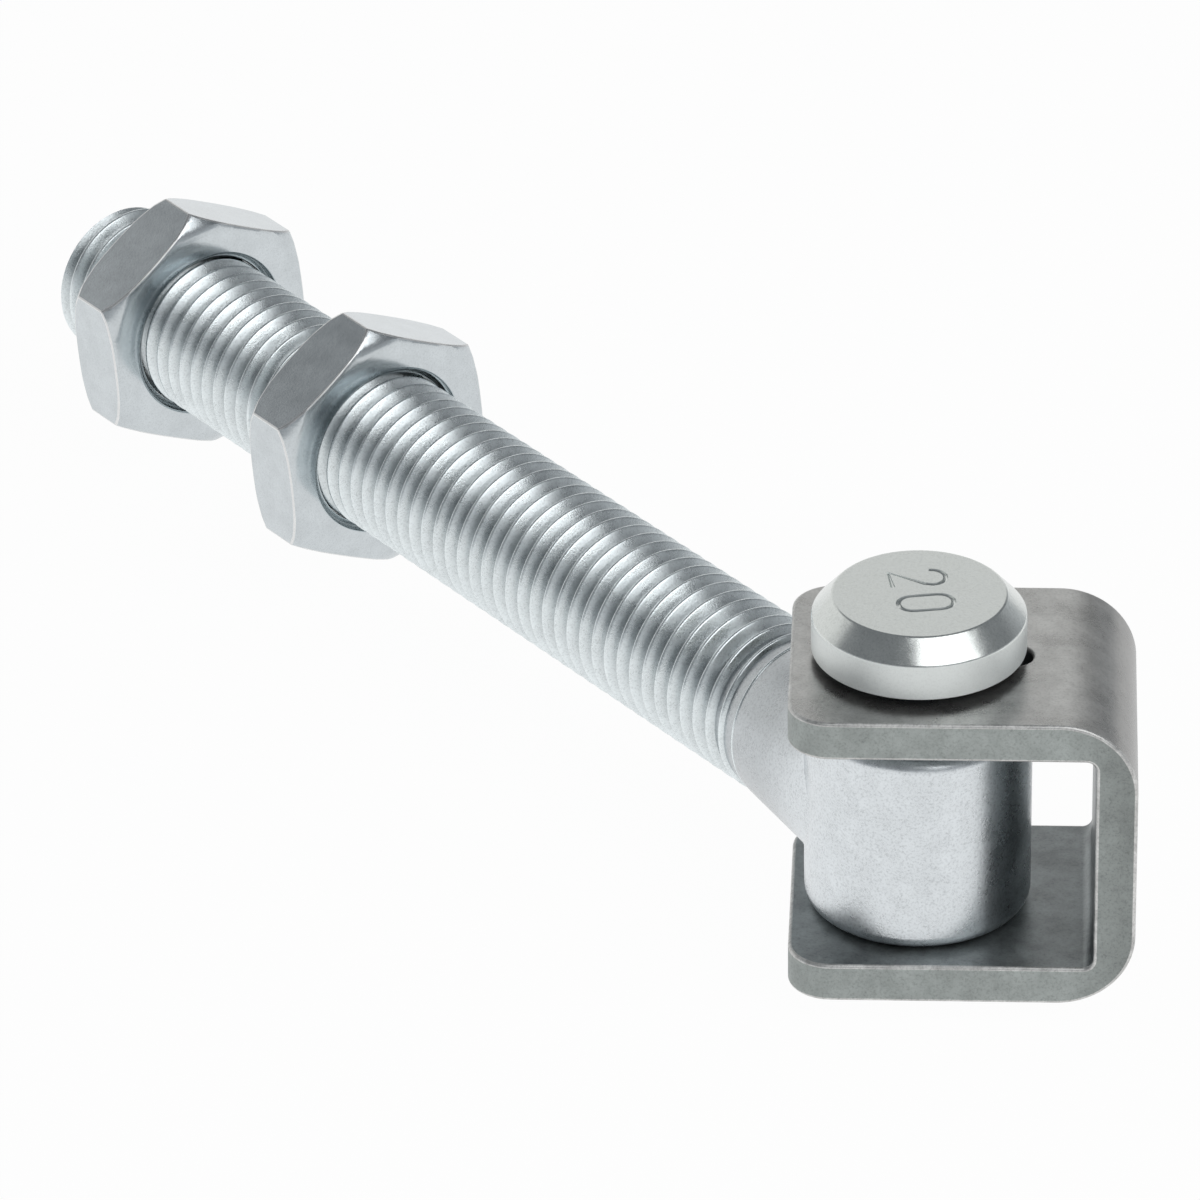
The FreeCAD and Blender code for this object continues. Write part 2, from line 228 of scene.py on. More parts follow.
class StageSizes(bpy.types.PropertyGroup):
    """The paper, the studio's light and the camera."""
    paper_width: FloatProperty(
        name="Paper width", description="Width of the floor", default=8.0, unit="LENGTH")
    paper_gap: FloatProperty(
        name="Paper gap", description="Floor below the object", default=0.2 * MM, unit="LENGTH")
    paper_colour: FloatVectorProperty(
        name="Paper", description="Colour of the floor", default=linear("#F4F4F4")[:3], subtype="COLOR")
    paper_glow: FloatProperty(
        name="Paper glow", description="Share of plain white in the floor as it is seen", default=0.97,
        subtype="FACTOR")
    wall_way: FloatVectorProperty(
        name="Wall's way", description="Direction of the pale wall's middle", default=(-0.52, 0.854, 0.0),
        subtype="XYZ")
    wall_colour: FloatVectorProperty(
        name="Wall", description="Colour of the pale wall", default=linear("#EFEFEE")[:3], subtype="COLOR")
    room_colour: FloatVectorProperty(
        name="Room", description="Colour of the room at eye level", default=linear("#B4B7BA")[:3],
        subtype="COLOR")
    ceiling_colour: FloatVectorProperty(
        name="Ceiling", description="Colour of the room overhead", default=linear("#7A7D80")[:3],
        subtype="COLOR")
    lamp_place: FloatVectorProperty(
        name="Lamp", description="Place of the soft box", default=(0.38, -0.46, 0.78), subtype="TRANSLATION")
    lamp_width: FloatProperty(
        name="Lamp width", description="Width of the soft box", default=0.9, unit="LENGTH")
    lamp_height: FloatProperty(
        name="Lamp height", description="Height of the soft box", default=0.8, unit="LENGTH")
    lamp_power: FloatProperty(
        name="Lamp power", description="Power of the soft box", default=4.0, unit="POWER")
    aim: FloatVectorProperty(
        name="Aim", description="Point in the middle of the picture",
        default=(-0.06228, 0.009823, 0.019601), subtype="TRANSLATION")
    distance: FloatProperty(
        name="Distance", description="Camera to that point", default=1.01861, unit="LENGTH")
    lens: FloatProperty(name="Lens", description="Focal length in millimetres", default=263.65)
    elevation: FloatProperty(
        name="Elevation", description="Camera above the horizon", default=math.radians(29.8), subtype="ANGLE")
    yaw: FloatProperty(
        name="Yaw", description="Camera's turn from +Y towards +X", default=math.radians(-2.94),
        subtype="ANGLE")
    roll: FloatProperty(
        name="Roll", description="Camera's tilt", default=math.radians(0.784), subtype="ANGLE")


# Places of a mix node's colour sockets, whose names repeat for each kind of data
MIX_A, MIX_B, MIX_RESULT = 6, 7, 2


def add_node(tree, kind, settings, inputs):
    """Adds a node; an input is a value, or a socket to link from."""
    node = tree.nodes.new(kind)
    for name, value in settings.items():
        setattr(node, name, value)
    for name, value in inputs.items():
        if isinstance(value, bpy.types.NodeSocket):
            tree.links.new(value, node.inputs[name])
        else:
            node.inputs[name].default_value = value
    return node


def new_material(name):
    """An empty node material and its tree."""
    material = bpy.data.materials.new(name)
    material.use_nodes = True
    material.node_tree.nodes.clear()
    return material, material.node_tree


def metal(name, colour, spread, clouds_mm, grain_mm, speck, rough, bump_mm, metallic=1.0, fade=None):
    """A metal with cloudy tone, fine dark specks, uneven gloss and a grainy surface.

    spread is how far the clouds go from the colour, speck how dark the specks are, rough the least and most
    roughness, and metallic less than 1 for a skin of oxide. fade changes the tone between two distances from
    the eye's centre: it holds their direction, or None for outwards from the shank's axis, then the two
    distances and the two tones.
    """
    material, tree = new_material(name)
    place = add_node(tree, "ShaderNodeTexCoord", {}, {}).outputs["Object"]
    clouds = add_node(tree, "ShaderNodeTexNoise", {}, {
        "Vector": place, "Scale": 1 / (clouds_mm * MM), "Detail": 6.0, "Roughness": 0.65})
    tone = add_node(tree, "ShaderNodeValToRGB", {}, {"Fac": clouds.outputs["Fac"]})
    for element, position, gain in zip(tone.color_ramp.elements, (0.35, 0.65), (1 - spread, 1 + spread)):
        element.position = position
        element.color = [part * gain for part in colour] + [1.0]
    grain = add_node(tree, "ShaderNodeTexNoise", {}, {
        "Vector": place, "Scale": 1 / (grain_mm * MM), "Detail": 3.0, "Roughness": 0.7})
    shade = add_node(tree, "ShaderNodeMapRange", {}, {
        "Value": grain.outputs["Fac"], "From Min": 0.28, "From Max": 0.52, "To Min": 1 - speck,
        "To Max": 1.0}).outputs["Result"]
    if fade:
        direction, reach, tones = fade
        from_eye = add_node(tree, "ShaderNodeVectorMath", {"operation": "SUBTRACT"}, {
            0: place, 1: EYE_CENTRE}).outputs["Vector"]
        if direction:
            away = add_node(tree, "ShaderNodeVectorMath", {"operation": "DOT_PRODUCT"}, {
                0: from_eye, 1: direction})
        else:
            across = add_node(tree, "ShaderNodeVectorMath", {"operation": "CROSS_PRODUCT"}, {
                0: from_eye, 1: ALONG})
            away = add_node(tree, "ShaderNodeVectorMath", {"operation": "LENGTH"}, {
                0: across.outputs["Vector"]})
        change = add_node(tree, "ShaderNodeMapRange", {}, {
            "Value": away.outputs["Value"], "From Min": reach[0], "From Max": reach[1], "To Min": tones[0],
            "To Max": tones[1]})
        shade = add_node(tree, "ShaderNodeMath", {"operation": "MULTIPLY"}, {
            0: shade, 1: change.outputs["Result"]}).outputs["Value"]
    shaded = add_node(tree, "ShaderNodeMix", {"data_type": "RGBA", "blend_type": "MULTIPLY"}, {
        "Factor": 1.0, MIX_A: tone.outputs["Color"], MIX_B: shade})
    gloss = add_node(tree, "ShaderNodeMapRange", {}, {
        "Value": clouds.outputs["Fac"], "From Min": 0.3, "From Max": 0.7, "To Min": rough[0],
        "To Max": rough[1]})
    bump = add_node(tree, "ShaderNodeBump", {}, {
        "Height": grain.outputs["Fac"], "Strength": 1.0, "Distance": bump_mm * MM})
    shader = add_node(tree, "ShaderNodeBsdfPrincipled", {}, {
        "Base Color": shaded.outputs[MIX_RESULT], "Metallic": metallic, "Roughness": gloss.outputs["Result"],
        "Normal": bump.outputs["Normal"]})
    add_node(tree, "ShaderNodeOutputMaterial", {}, {"Surface": shader.outputs["BSDF"]})
    return material


def deselect():
    """Leaves nothing selected."""
    if bpy.context.mode != "OBJECT":
        bpy.ops.object.mode_set(mode="OBJECT")
    bpy.ops.object.select_all(action="DESELECT")


def activate(piece):
    """Selects one object alone."""
    deselect()
    piece.select_set(True)
    bpy.context.view_layer.objects.active = piece
    return piece


def named(name):
    """Names the active object and its mesh."""
    piece = bpy.context.object
    piece.name = name
    piece.data.name = name
    return piece


def edit(piece, select="DESELECT"):
    """Opens a piece in edit mode with all or nothing selected."""
    activate(piece)
    bpy.ops.object.mode_set(mode="EDIT")
    bpy.ops.mesh.select_all(action=select)


def close():
    """Leaves edit mode."""
    bpy.ops.object.mode_set(mode="OBJECT")


def modify(piece, kind, **settings):
    """Adds a modifier and applies it."""
    activate(piece)
    modifier = piece.modifiers.new(kind.lower(), kind)
    for name, value in settings.items():
        setattr(modifier, name, value)
    bpy.ops.object.modifier_apply(modifier=modifier.name)


def combine(piece, tool, operation):
    """Joins, cuts or limits a piece by a tool, which is then gone."""
    modify(piece, "BOOLEAN", object=tool, operation=operation, solver="EXACT")
    if not piece.data.polygons:
        raise RuntimeError(f"{piece.name}: nothing left after {operation}")
    bpy.data.objects.remove(tool)


def move(piece, matrix):
    """Moves a piece and keeps the move in its mesh."""
    activate(piece)
    piece.matrix_world = matrix
    bpy.ops.object.transform_apply(location=True, rotation=True, scale=True)


def cad_copy(node, name):
    """A copy of a CAD node's mesh with its points merged."""
    activate(frame["nodes"][node])
    bpy.ops.object.duplicate()
    piece = named(name)
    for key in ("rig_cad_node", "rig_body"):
        del piece[key]
    piece.parent = None
    piece.data.materials.clear()
    edit(piece, "SELECT")
    bpy.ops.mesh.customdata_custom_splitnormals_clear()
    bpy.ops.mesh.remove_doubles(threshold=2 * SAME_POINT)
    close()
    return piece


def merge_flats(piece):
    """Joins the triangles of a piece's flat faces."""
    edit(piece, "SELECT")
    bpy.ops.mesh.dissolve_limited(angle_limit=math.radians(0.5))
    close()


def weld(piece):
    """Merges a piece's doubled points and turns its faces outwards."""
    edit(piece, "SELECT")
    bpy.ops.mesh.remove_doubles(threshold=SAME_POINT)
    bpy.ops.mesh.normals_make_consistent(inside=False)
    close()


def draw_profile(name, points):
    """A line of edges through points, drawn by extruding one vertex."""
    deselect()
    bpy.ops.mesh.primitive_plane_add(size=1.0)
    piece = named(name)
    edit(piece, "SELECT")
    bpy.ops.mesh.merge(type="CENTER")
    bpy.ops.transform.translate(value=points[0])
    for before, after in zip(points, points[1:]):
        bpy.ops.mesh.extrude_region_move(TRANSFORM_OT_translate={"value": Vector(after) - Vector(before)})
    close()
    return piece


def lathe(name, points, steps):
    """A closed solid turned about X from a profile that is closed or ends on the axis."""
    piece = draw_profile(name, points)
    edit(piece, "SELECT")
    bpy.ops.mesh.spin(steps=steps, angle=2 * math.pi, center=(0, 0, 0), axis=(1, 0, 0))
    weld(piece)
    return piece


def put_on_shank(piece, reach):
    """Moves a piece modelled along +X to its place along the shank."""
    move(piece, Matrix.Translation(EYE_CENTRE + ALONG * reach) @ SHANK_TURN)


def coat(piece, *metals):
    """Gives a piece its metals, of which its faces have the first."""
    for material in metals:
        piece.data.materials.append(material)


def finish_piece(piece, body, nodes, sharp_degrees):
    """Shades a piece, with its edges past an angle left sharp, and ties it to the frame."""
    activate(piece)
    bpy.ops.object.shade_smooth_by_angle(angle=math.radians(sharp_degrees))
    modify(piece, "WEIGHTED_NORMAL", keep_sharp=True)
    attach(piece, body)
    if nodes:
        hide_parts(*nodes)


class GATEHINGE_OT_bracket(bpy.types.Operator):
    """Softens the edges of the folded strip and gives it raw steel"""
    bl_idname = "gatehinge.bracket"
    bl_label = "Bracket"

    def execute(self, context):
        sizes = context.scene.bracket_sizes
        piece = cad_copy("u_bracket", "folded_bracket")
        merge_flats(piece)
        # Raw mild steel strip: the legs shine softly and painted shade darkens them round the folds to the
        # web, sheared edges are a flat grey-green and also darkened there by painted shade, the edges are
        # lightened as a painted highlight, and the inner faces are painted darker as shade inside the U
        to_web = Vector((1, 0, 0))
        # Painted shade: between these distances towards the web the rolled faces darken to half and the
        # sheared edges to 0.72
        fold_shade_span = (17 * MM, 24 * MM)
        coat(piece,
             metal("rolled mild steel", sizes.rolled_colour, spread=0.22, clouds_mm=5.0, grain_mm=0.35,
                   speck=0.22, rough=(0.24, 0.34), bump_mm=0.012, metallic=0.9,
                   fade=(to_web, fold_shade_span, (1.0, 0.5))),
             metal("sheared mild steel", sizes.sheared_colour, spread=0.14, clouds_mm=3.0, grain_mm=0.3,
                   speck=0.28, rough=(0.5, 0.6), bump_mm=0.02, metallic=0.5,
                   fade=(to_web, fold_shade_span, (1.0, 0.72))),
             metal("mild steel, painted edge highlight", sizes.painted_edge_highlight_colour, spread=0.2, clouds_mm=1.5, grain_mm=0.3,
                   speck=0.3, rough=(0.35, 0.5), bump_mm=0.012, metallic=0.8),
             metal("inner faces, painted shade", sizes.inner_shade_colour, spread=0.26, clouds_mm=4.0, grain_mm=0.35,
                   speck=0.25, rough=(0.36, 0.46), bump_mm=0.012, metallic=0.9))
        # scale is the index of the inner faces' darker colour, painted shade inside the U
        rolled, sheared, highlit_edge, scale = range(4)
        for face in piece.data.polygons:
            inside = (face.center - EYE_CENTRE).dot(face.normal) < 0
            leg_end = face.normal.x < -0.01 and abs(face.normal.z) < 0.1
            strip_side = abs(face.normal.y) > 0.9
            face.material_index = scale if inside else sheared if strip_side or leg_end else rolled
        # The bevel's faces take the lightened colour as a painted highlight
        modify(piece, "BEVEL", width=sizes.edge, segments=3, limit_method="ANGLE",
               angle_limit=math.radians(40), material=highlit_edge)
        finish_piece(piece, "bracket", ["u_bracket"], sharp_degrees=40)
        return {"FINISHED"}


def stamp_figures(sizes):
    """The lines of a 2 and a 0, each about its own middle."""
    wide = sizes.stamp_width / 2
    tall = sizes.stamp_height / 2
    arc = [math.radians(degrees) for degrees in range(0, 181, 20)]
    shoulder = tall - wide
    zero = [(wide * math.cos(turn), shoulder + wide * math.sin(turn)) for turn in arc]
    zero += [(-x, -y) for x, y in zero]
    zero.append(zero[0])
    two = [(-wide * math.cos(turn), shoulder + wide * math.sin(turn)) for turn in arc]
    two += [(0.8 * wide, 0.35 * shoulder), (-wide, -tall), (wide, -tall)]
    return two, zero


def stamp(piece, sizes):
    """Sinks the figures into the top of the pin's head, as round strokes."""
    middle = Vector((EYE_CENTRE.x, EYE_CENTRE.y, PIN_HIGH.z)) + Vector(sizes.stamp_place)
    for figure, side in zip(stamp_figures(sizes), (-0.5, 0.5)):
        points = [(x + side * sizes.stamp_pitch, y, 0) for x, y in figure]
        stroke = draw_profile("stamp_stroke", points)
        weld(stroke)
        bpy.ops.object.convert(target="CURVE")
        stroke.data.bevel_depth = sizes.stamp_stroke / 2
        stroke.data.bevel_resolution = 2
        stroke.data.use_fill_caps = True
        bpy.ops.object.convert(target="MESH")
        weld(stroke)
        move(stroke, Matrix.Translation(middle) @ Matrix.Rotation(sizes.stamp_turn, 4, "Z"))
        combine(piece, stroke, "DIFFERENCE")


class GATEHINGE_OT_pin(bpy.types.Operator):
    """Softens the turned pin's edges and stamps the nominal size on its head"""
    bl_idname = "gatehinge.pin"
    bl_label = "Pin"

    def execute(self, context):
        sizes = context.scene.pin_sizes
        piece = cad_copy("hinge_pin", "headed_pin")
        merge_flats(piece)
        modify(piece, "BEVEL", width=sizes.edge, segments=3, limit_method="ANGLE",
               angle_limit=math.radians(30))
        stamp(piece, sizes)
        # Turned steel with a thin zinc plate: bright on chamfer and faced top, satin round the rim with a
        # lighter colour as a painted highlight, and a dark colour below the head as painted shade
        coat(piece,
             metal("turned plated steel", sizes.colour, spread=0.04, clouds_mm=4.0, grain_mm=0.25,
                   speck=0.16, rough=(0.2, 0.27), bump_mm=0.005),
             metal("faced plated steel", sizes.colour, spread=0.04, clouds_mm=3.0, grain_mm=0.25,
                   speck=0.12, rough=(0.22, 0.28), bump_mm=0.006),
             metal("plated steel, dull rim with painted highlight", sizes.rim_highlight_colour, spread=0.03, clouds_mm=4.0, grain_mm=0.25,
                   speck=0.08, rough=(0.4, 0.48), bump_mm=0.004, metallic=0.55),
             metal("painted shade below the head", sizes.under_head_shade_colour, spread=0.1, clouds_mm=3.0, grain_mm=0.3,
                   speck=0.1, rough=(0.3, 0.4), bump_mm=0.004))
        turned, faced, dull_lit_rim, shaded_below = range(4)
        for face in piece.data.polygons:
            depth = PIN_HIGH.z - face.center.z
            top = face.normal.z > 0.999 and depth < 0.01 * MM
            # below marks the faces under the head's rim, which take the dark colour as painted shade
            below = depth > sizes.head_height - sizes.edge / 2
            rim = abs(face.normal.z) < 0.3
            face.material_index = faced if top else shaded_below if below else dull_lit_rim if rim else turned
        finish_piece(piece, "bracket", ["hinge_pin"], sharp_degrees=30)
        return {"FINISHED"}


class GATEHINGE_OT_ring(bpy.types.Operator):
    """Gives the retaining ring its dark spring steel"""
    bl_idname = "gatehinge.ring"
    bl_label = "Retaining ring"

    def execute(self, context):
        ring = frame["nodes"]["retaining_ring"]
        # Phosphated spring steel: near black and dull
        ring.data.materials.clear()
        coat(ring, metal("phosphated spring steel", context.scene.pin_sizes.ring_colour, spread=0.1,
                         clouds_mm=2.0, grain_mm=0.3, speck=0.1, rough=(0.4, 0.55), bump_mm=0.006))
        return {"FINISHED"}


class GATEHINGE_OT_eye(bpy.types.Operator):
    """Cuts the eye and neck from the CAD bolt and lets the neck run out into the thread"""
    bl_idname = "gatehinge.eye"
    bl_label = "Forged eye"

    def execute(self, context):
        sizes = context.scene.shank_sizes
        piece = cad_copy("eye_bolt", "forged_eye")
        cut = EYE_CENTRE + ALONG * sizes.start_reach
        run_out = sizes.full_reach - sizes.start_reach
        share = 1 - sizes.depth / (sizes.diameter / 2)
        edit(piece, "SELECT")
        # The cut leaves its end face selected, which is drawn out into a cone under the first turns
        bpy.ops.mesh.bisect(plane_co=cut, plane_no=ALONG, use_fill=True, clear_outer=True)
        bpy.ops.mesh.extrude_region_move(TRANSFORM_OT_translate={"value": ALONG * run_out})
        bpy.ops.transform.resize(value=(share, share, share), center_override=cut + ALONG * run_out)
        close()
        # Zinc on a blasted forging: light and grainy, and darker towards the neck
        neck_start = (8 * MM, 16 * MM)
        coat(piece, metal("zinc plated forging", sizes.forging_colour, spread=0.06, clouds_mm=2.5,
                          grain_mm=0.3, speck=0.28, rough=(0.24, 0.34), bump_mm=0.026,
                          fade=(ALONG, neck_start, (1.0, 0.74))))
        finish_piece(piece, "eye_bolt", ["eye_bolt"], sharp_degrees=35)
        return {"FINISHED"}


class GATEHINGE_OT_shank(bpy.types.Operator):
    """Turns the rolled thread of the shank, from the neck to the chamfered end"""
    bl_idname = "gatehinge.shank"
    bl_label = "Threaded shank"

    def execute(self, context):
        sizes = context.scene.shank_sizes
        crest = sizes.diameter / 2
        root = crest - sizes.depth
        # Half a tooth as shares of pitch and depth: round root, straight flank, blunt crest
        half_tooth = (
            (0.0, 0.0), (0.05, 0.02), (0.1, 0.1), (0.2, 0.36),
            (0.3, 0.62), (0.4, 0.89), (0.44, 0.97), (0.5, 1.0))
        tooth = [(share * sizes.pitch, 0, root + rise * sizes.depth) for share, rise in half_tooth]
        tooth += [(sizes.pitch - x, 0, z) for x, y, z in reversed(tooth[:-1])]
        length = SHANK_REACH - sizes.start_reach + sizes.pitch / 2
        turns = math.ceil(length / sizes.pitch) + 3
        piece = draw_profile("threaded_shank", tooth)
        modify(piece, "SCREW", axis="X", screw_offset=sizes.pitch, iterations=turns, steps=sizes.steps,
               render_steps=sizes.steps, use_merge_vertices=True, merge_threshold=SAME_POINT)
        weld(piece)
        # The shank's two ends along the drawn helix. Its outermost turns aren't whole, so they are cut off
        # and closed, and the blank then trims both ends.
        first = 2.2 * sizes.pitch
        last = first + length
        edit(piece)
        for place, normal in ((first - sizes.pitch, -1), (last + sizes.pitch / 2, 1)):
            bpy.ops.mesh.select_all(action="SELECT")
            bpy.ops.mesh.bisect(
                plane_co=(place, 0, 0), plane_no=(normal, 0, 0), use_fill=True, clear_outer=True)
        close()
        blank = lathe("turned_blank", [
            (first, 0, 0),
            (first, 0, crest + MM),
            (last - sizes.end_chamfer - MM, 0, crest + MM),
            (last, 0, crest - sizes.end_chamfer),
            (last, 0, 0),
        ], sizes.steps)
        combine(piece, blank, "INTERSECT")
        weld(piece)
        move(piece, Matrix.Translation((-first, 0, 0)))
        put_on_shank(piece, SHANK_REACH - length)
        # Zinc on a rolled thread: bright crests, and painted shade that darkens the roots
        root_shade_span = (root, root + 0.95 * sizes.depth)
        coat(piece, metal("zinc plated rolled thread", sizes.colour, spread=0.07, clouds_mm=3.0,
                          grain_mm=0.26, speck=0.24, rough=(0.22, 0.34), bump_mm=0.018,
                          fade=(None, root_shade_span, (0.7, 1.0))))
        finish_piece(piece, "eye_bolt", [], sharp_degrees=40)
        return {"FINISHED"}


def nut_blank(sizes):
    """A turned ring along X with rounded chamfers and a countersunk bore."""
    half = sizes.height / 2
    flat = sizes.across_flats / 2
    rim = sizes.across_flats / math.sqrt(3) + MM
    bore = sizes.bore_diameter / 2
    mouth = bore + sizes.countersink
    inner = half - sizes.countersink
    # The chamfer's facets meet on the flats at these degrees from a flat's middle, where the ring has a point
    meets = [flat / math.cos(math.radians(degrees)) for degrees in (15, 25)]
    chamfer = [(half, 0, sizes.face_diameter / 2)]
    for facet, radius in enumerate((*meets, rim)):
        slope = sizes.chamfer_angle + (facet - 1) * sizes.chamfer_bend
        x, _, before = chamfer[-1]
        chamfer.append((x - (radius - before) * math.tan(slope), 0, radius))
    return lathe("hex_nut", [
        (-inner, 0, bore), (inner, 0, bore), (half, 0, mouth), *chamfer,
        *[(-x, y, z) for x, y, z in reversed(chamfer)], (-half, 0, mouth), (-inner, 0, bore),
    ], sizes.steps)


def hex_bar(sizes):
    """A hex bar along X with a corner at its top."""
    deselect()
    bpy.ops.mesh.primitive_cylinder_add(
        vertices=6, radius=sizes.across_flats / math.sqrt(3), depth=2 * sizes.height)
    bar = named("hexagon")
    # The primitive's first corner lies on its Y and its axis along its Z
    axis = Vector((1, 0, 0))
    move(bar, Matrix((UP.cross(axis), UP, axis)).transposed().to_4x4())
    return bar


class GATEHINGE_OT_nuts(bpy.types.Operator):
    """Models one hex nut with chamfered corners and copies it to both places"""
    bl_idname = "gatehinge.nuts"
    bl_label = "Nuts"

    def execute(self, context):
        sizes = context.scene.nut_sizes
        nut = nut_blank(sizes)
        combine(nut, hex_bar(sizes), "INTERSECT")
        weld(nut)
        # Bright zinc on machined faces: a soft mirror, with outer edges lightened as a painted highlight, and
        # slightly duller turned chamfers
        coat(nut,
             metal("zinc plated nut", sizes.colour, spread=0.05, clouds_mm=3.0, grain_mm=0.22,
                   speck=0.14, rough=(0.11, 0.17), bump_mm=0.005),
             metal("zinc, painted edge highlight", sizes.edge_highlight_colour, spread=0.04, clouds_mm=2.0, grain_mm=0.3,
                   speck=0.1, rough=(0.3, 0.4), bump_mm=0.004),
             metal("turned zinc chamfer", sizes.colour, spread=0.05, clouds_mm=3.0, grain_mm=0.22,
                   speck=0.14, rough=(0.17, 0.23), bump_mm=0.005))
        machined, highlit_edge, turned = range(3)
        for polygon in nut.data.polygons:
            if abs(polygon.normal.x) > 0.1 and polygon.center.yz.length > sizes.face_diameter / 2:
                polygon.material_index = turned
        modify(nut, "BEVEL", width=sizes.edge, segments=2, limit_method="ANGLE",
               angle_limit=math.radians(25), material=highlit_edge)
        mouth = sizes.bore_diameter / 2 + sizes.countersink
        for polygon in nut.data.polygons:
            if polygon.center.yz.length < mouth + sizes.edge:
                polygon.material_index = machined
        move(nut, Matrix.Rotation(-sizes.turn, 4, "X"))
        for node in ("inner_nut", "outer_nut"):
            activate(nut)
            bpy.ops.object.duplicate()
            piece = named(f"hex_{node}")
            low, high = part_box(node)
            put_on_shank(piece, reach_of((low + high) / 2))
            finish_piece(piece, node, [node], sharp_degrees=30)
        bpy.data.objects.remove(nut)
        return {"FINISHED"}


def lay_paper(sizes):
    """The floor under the object."""
    deselect()
    bpy.ops.mesh.primitive_plane_add(
        size=sizes.paper_width, location=(0, 0, CAD_LOW.z - sizes.paper_gap))
    floor = named("floor")
    # White paper: shows white to the camera and in the metal, and still takes a soft shadow
    paper, tree = new_material("white paper")
    seen = add_node(tree, "ShaderNodeLightPath", {}, {})
    camera_or_gloss = add_node(tree, "ShaderNodeMath", {"operation": "MAXIMUM"}, {
        0: seen.outputs["Is Camera Ray"], 1: seen.outputs["Is Glossy Ray"]})
    any_seen = add_node(tree, "ShaderNodeMath", {"operation": "MAXIMUM"}, {
        0: camera_or_gloss.outputs[0], 1: seen.outputs["Is Transmission Ray"]})
    share = add_node(tree, "ShaderNodeMath", {"operation": "MULTIPLY"}, {
        0: any_seen.outputs[0], 1: sizes.paper_glow})
    matt = add_node(tree, "ShaderNodeBsdfDiffuse", {}, {"Color": [*sizes.paper_colour, 1.0]})
    glow = add_node(tree, "ShaderNodeEmission", {}, {"Color": linear("#FFFFFF"), "Strength": 1.0})
    mixed = add_node(tree, "ShaderNodeMixShader", {}, {
        0: share.outputs[0], 1: matt.outputs[0], 2: glow.outputs[0]})
    add_node(tree, "ShaderNodeOutputMaterial", {}, {"Surface": mixed.outputs[0]})
    floor.data.materials.append(paper)


def light_room(scene, sizes):
    """The light from all round: a pale wall behind the object, and a dim room elsewhere."""
    world = bpy.data.worlds.new("studio")
    scene.world = world
    world.use_nodes = True
    tree = world.node_tree
    tree.nodes.clear()
    way = add_node(tree, "ShaderNodeTexCoord", {}, {}).outputs["Generated"]
    height = add_node(tree, "ShaderNodeSeparateXYZ", {}, {"Vector": way}).outputs["Z"]
    facing = add_node(tree, "ShaderNodeVectorMath", {"operation": "DOT_PRODUCT"}, {
        0: way, 1: sizes.wall_way})
    behind = add_node(tree, "ShaderNodeMapRange", {"interpolation_type": "SMOOTHSTEP"}, {
        "Value": facing.outputs["Value"], "From Min": 0.46, "From Max": 0.7})
    low = add_node(tree, "ShaderNodeMapRange", {"interpolation_type": "SMOOTHSTEP"}, {
        "Value": height, "From Min": 0.66, "From Max": 0.53})
    share = add_node(tree, "ShaderNodeMath", {"operation": "MULTIPLY"}, {
        0: behind.outputs["Result"], 1: low.outputs["Result"]})
    rise = add_node(tree, "ShaderNodeMapRange", {"interpolation_type": "SMOOTHSTEP"}, {
        "Value": height, "From Min": 0.15, "From Max": 0.4})
    room = add_node(tree, "ShaderNodeMix", {"data_type": "RGBA"}, {
        "Factor": rise.outputs["Result"], MIX_A: [*sizes.room_colour, 1.0],
        MIX_B: [*sizes.ceiling_colour, 1.0]})
    sky = add_node(tree, "ShaderNodeMix", {"data_type": "RGBA"}, {
        "Factor": share.outputs["Value"], MIX_A: room.outputs[MIX_RESULT],
        MIX_B: [*sizes.wall_colour, 1.0]})
    glow = add_node(tree, "ShaderNodeBackground", {}, {"Color": sky.outputs[MIX_RESULT], "Strength": 1.0})
    add_node(tree, "ShaderNodeOutputWorld", {}, {"Surface": glow.outputs[0]})


def hang_soft_box(sizes):
    """A wide soft box overhead, to the camera's right."""
    deselect()
    bpy.ops.object.light_add(type="AREA", location=sizes.lamp_place)
    lamp = named("soft_box")
    lamp.data.shape = "RECTANGLE"
    lamp.data.size = sizes.lamp_width
    lamp.data.size_y = sizes.lamp_height
    lamp.data.energy = sizes.lamp_power
    lamp.rotation_mode = "QUATERNION"
    lamp.rotation_quaternion = (Vector(sizes.aim) - Vector(sizes.lamp_place)).to_track_quat("-Z", "Y")


def set_camera(scene, sizes):
    """The camera, from a fit to the photo."""
    flat = math.cos(sizes.elevation)
    ahead = Vector((math.sin(sizes.yaw) * flat, math.cos(sizes.yaw) * flat, -math.sin(sizes.elevation)))
    deselect()
    bpy.ops.object.camera_add(location=Vector(sizes.aim) - ahead * sizes.distance)
    camera = named("photo_camera")
    camera.rotation_mode = "QUATERNION"
    camera.rotation_quaternion = ahead.to_track_quat("-Z", "Y") @ Quaternion((0, 0, 1), -sizes.roll)
    camera.data.lens = sizes.lens
    camera.data.sensor_width = 36.0
    camera.data.clip_end = 20.0
    scene.camera = camera


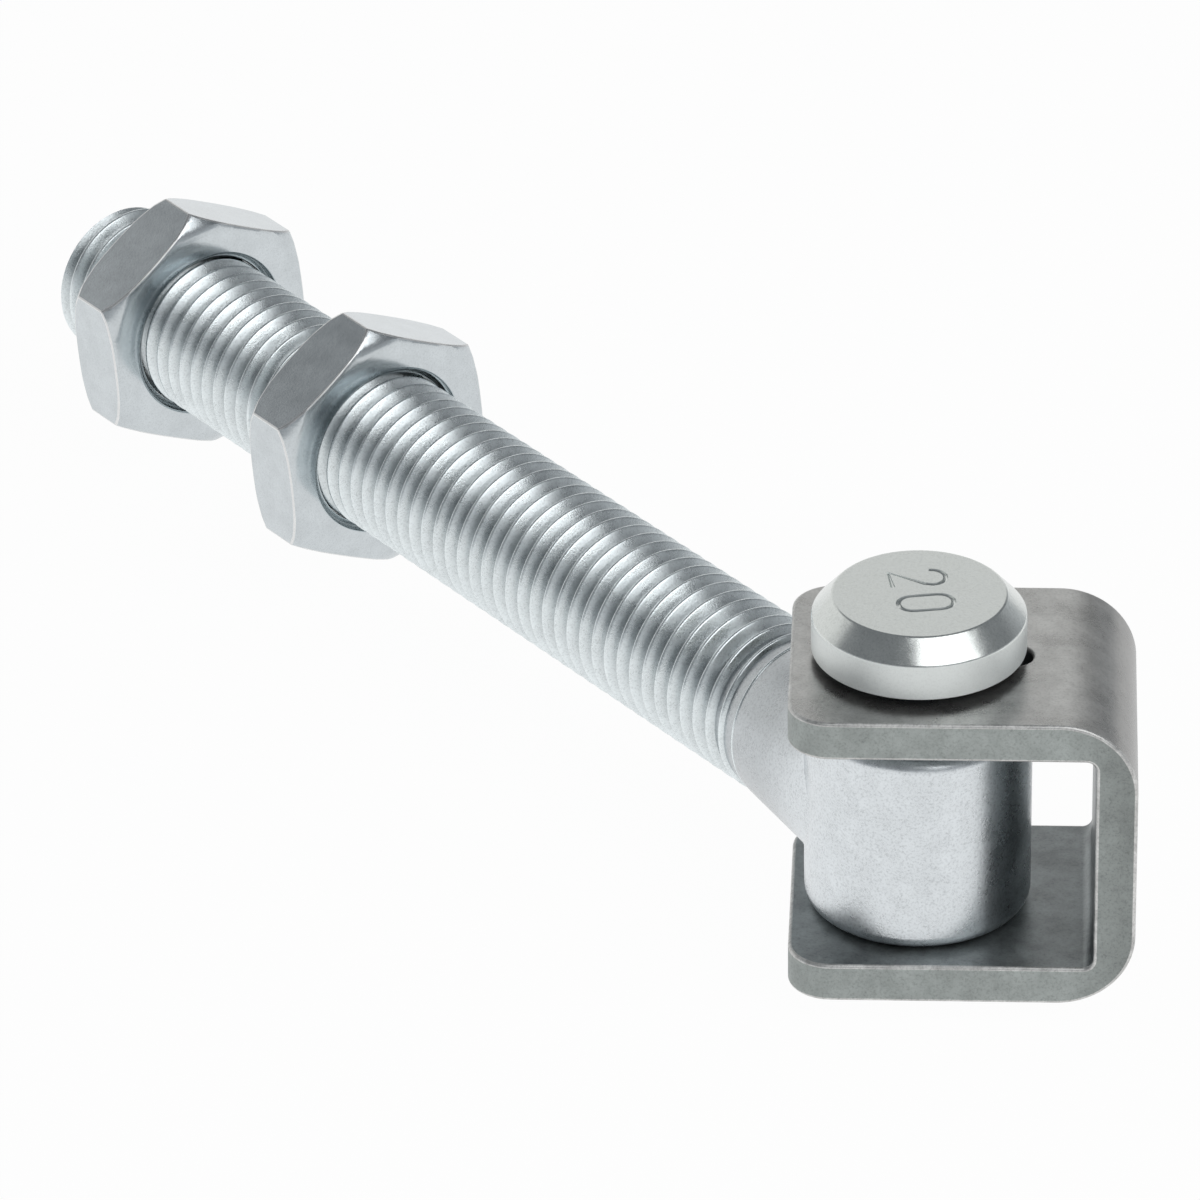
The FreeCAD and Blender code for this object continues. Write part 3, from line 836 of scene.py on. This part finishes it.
class GATEHINGE_OT_stage(bpy.types.Operator):
    """Sets up the white floor, the studio light and the camera"""
    bl_idname = "gatehinge.stage"
    bl_label = "Stage"

    def execute(self, context):
        scene = context.scene
        sizes = scene.stage_sizes
        scene.view_settings.view_transform = "Standard"
        lay_paper(sizes)
        light_room(scene, sizes)
        hang_soft_box(sizes)
        set_camera(scene, sizes)
        return {"FINISHED"}


OPERATORS = (
    GATEHINGE_OT_bracket, GATEHINGE_OT_pin, GATEHINGE_OT_ring, GATEHINGE_OT_eye, GATEHINGE_OT_shank,
    GATEHINGE_OT_nuts, GATEHINGE_OT_stage,
)
GROUPS = {
    "bracket_sizes": BracketSizes, "pin_sizes": PinSizes, "shank_sizes": ShankSizes, "nut_sizes": NutSizes,
    "stage_sizes": StageSizes,
}


class GATEHINGE_PT_panel(bpy.types.Panel):
    """Lists the sizes and the steps"""
    bl_label = "Gate hinge"
    bl_idname = "GATEHINGE_PT_panel"
    bl_space_type = "VIEW_3D"
    bl_region_type = "UI"
    bl_category = "Gate hinge"

    def draw(self, context):
        for group, kind in GROUPS.items():
            box = self.layout.box()
            for name in kind.__annotations__:
                box.prop(getattr(context.scene, group), name)
        for operator in OPERATORS:
            self.layout.operator(operator.bl_idname)


def register():
    for group, kind in GROUPS.items():
        bpy.utils.register_class(kind)
        setattr(bpy.types.Scene, group, PointerProperty(type=kind))
    for kind in (*OPERATORS, GATEHINGE_PT_panel):
        bpy.utils.register_class(kind)


def unregister():
    for kind in (GATEHINGE_PT_panel, *reversed(OPERATORS)):
        bpy.utils.unregister_class(kind)
    for group, kind in GROUPS.items():
        delattr(bpy.types.Scene, group)
        bpy.utils.unregister_class(kind)


def main():
    register()
    bpy.ops.gatehinge.bracket()
    bpy.ops.gatehinge.pin()
    bpy.ops.gatehinge.ring()
    bpy.ops.gatehinge.eye()
    bpy.ops.gatehinge.shank()
    bpy.ops.gatehinge.nuts()
    bpy.ops.gatehinge.stage()


if __name__ == "__main__":
    main()
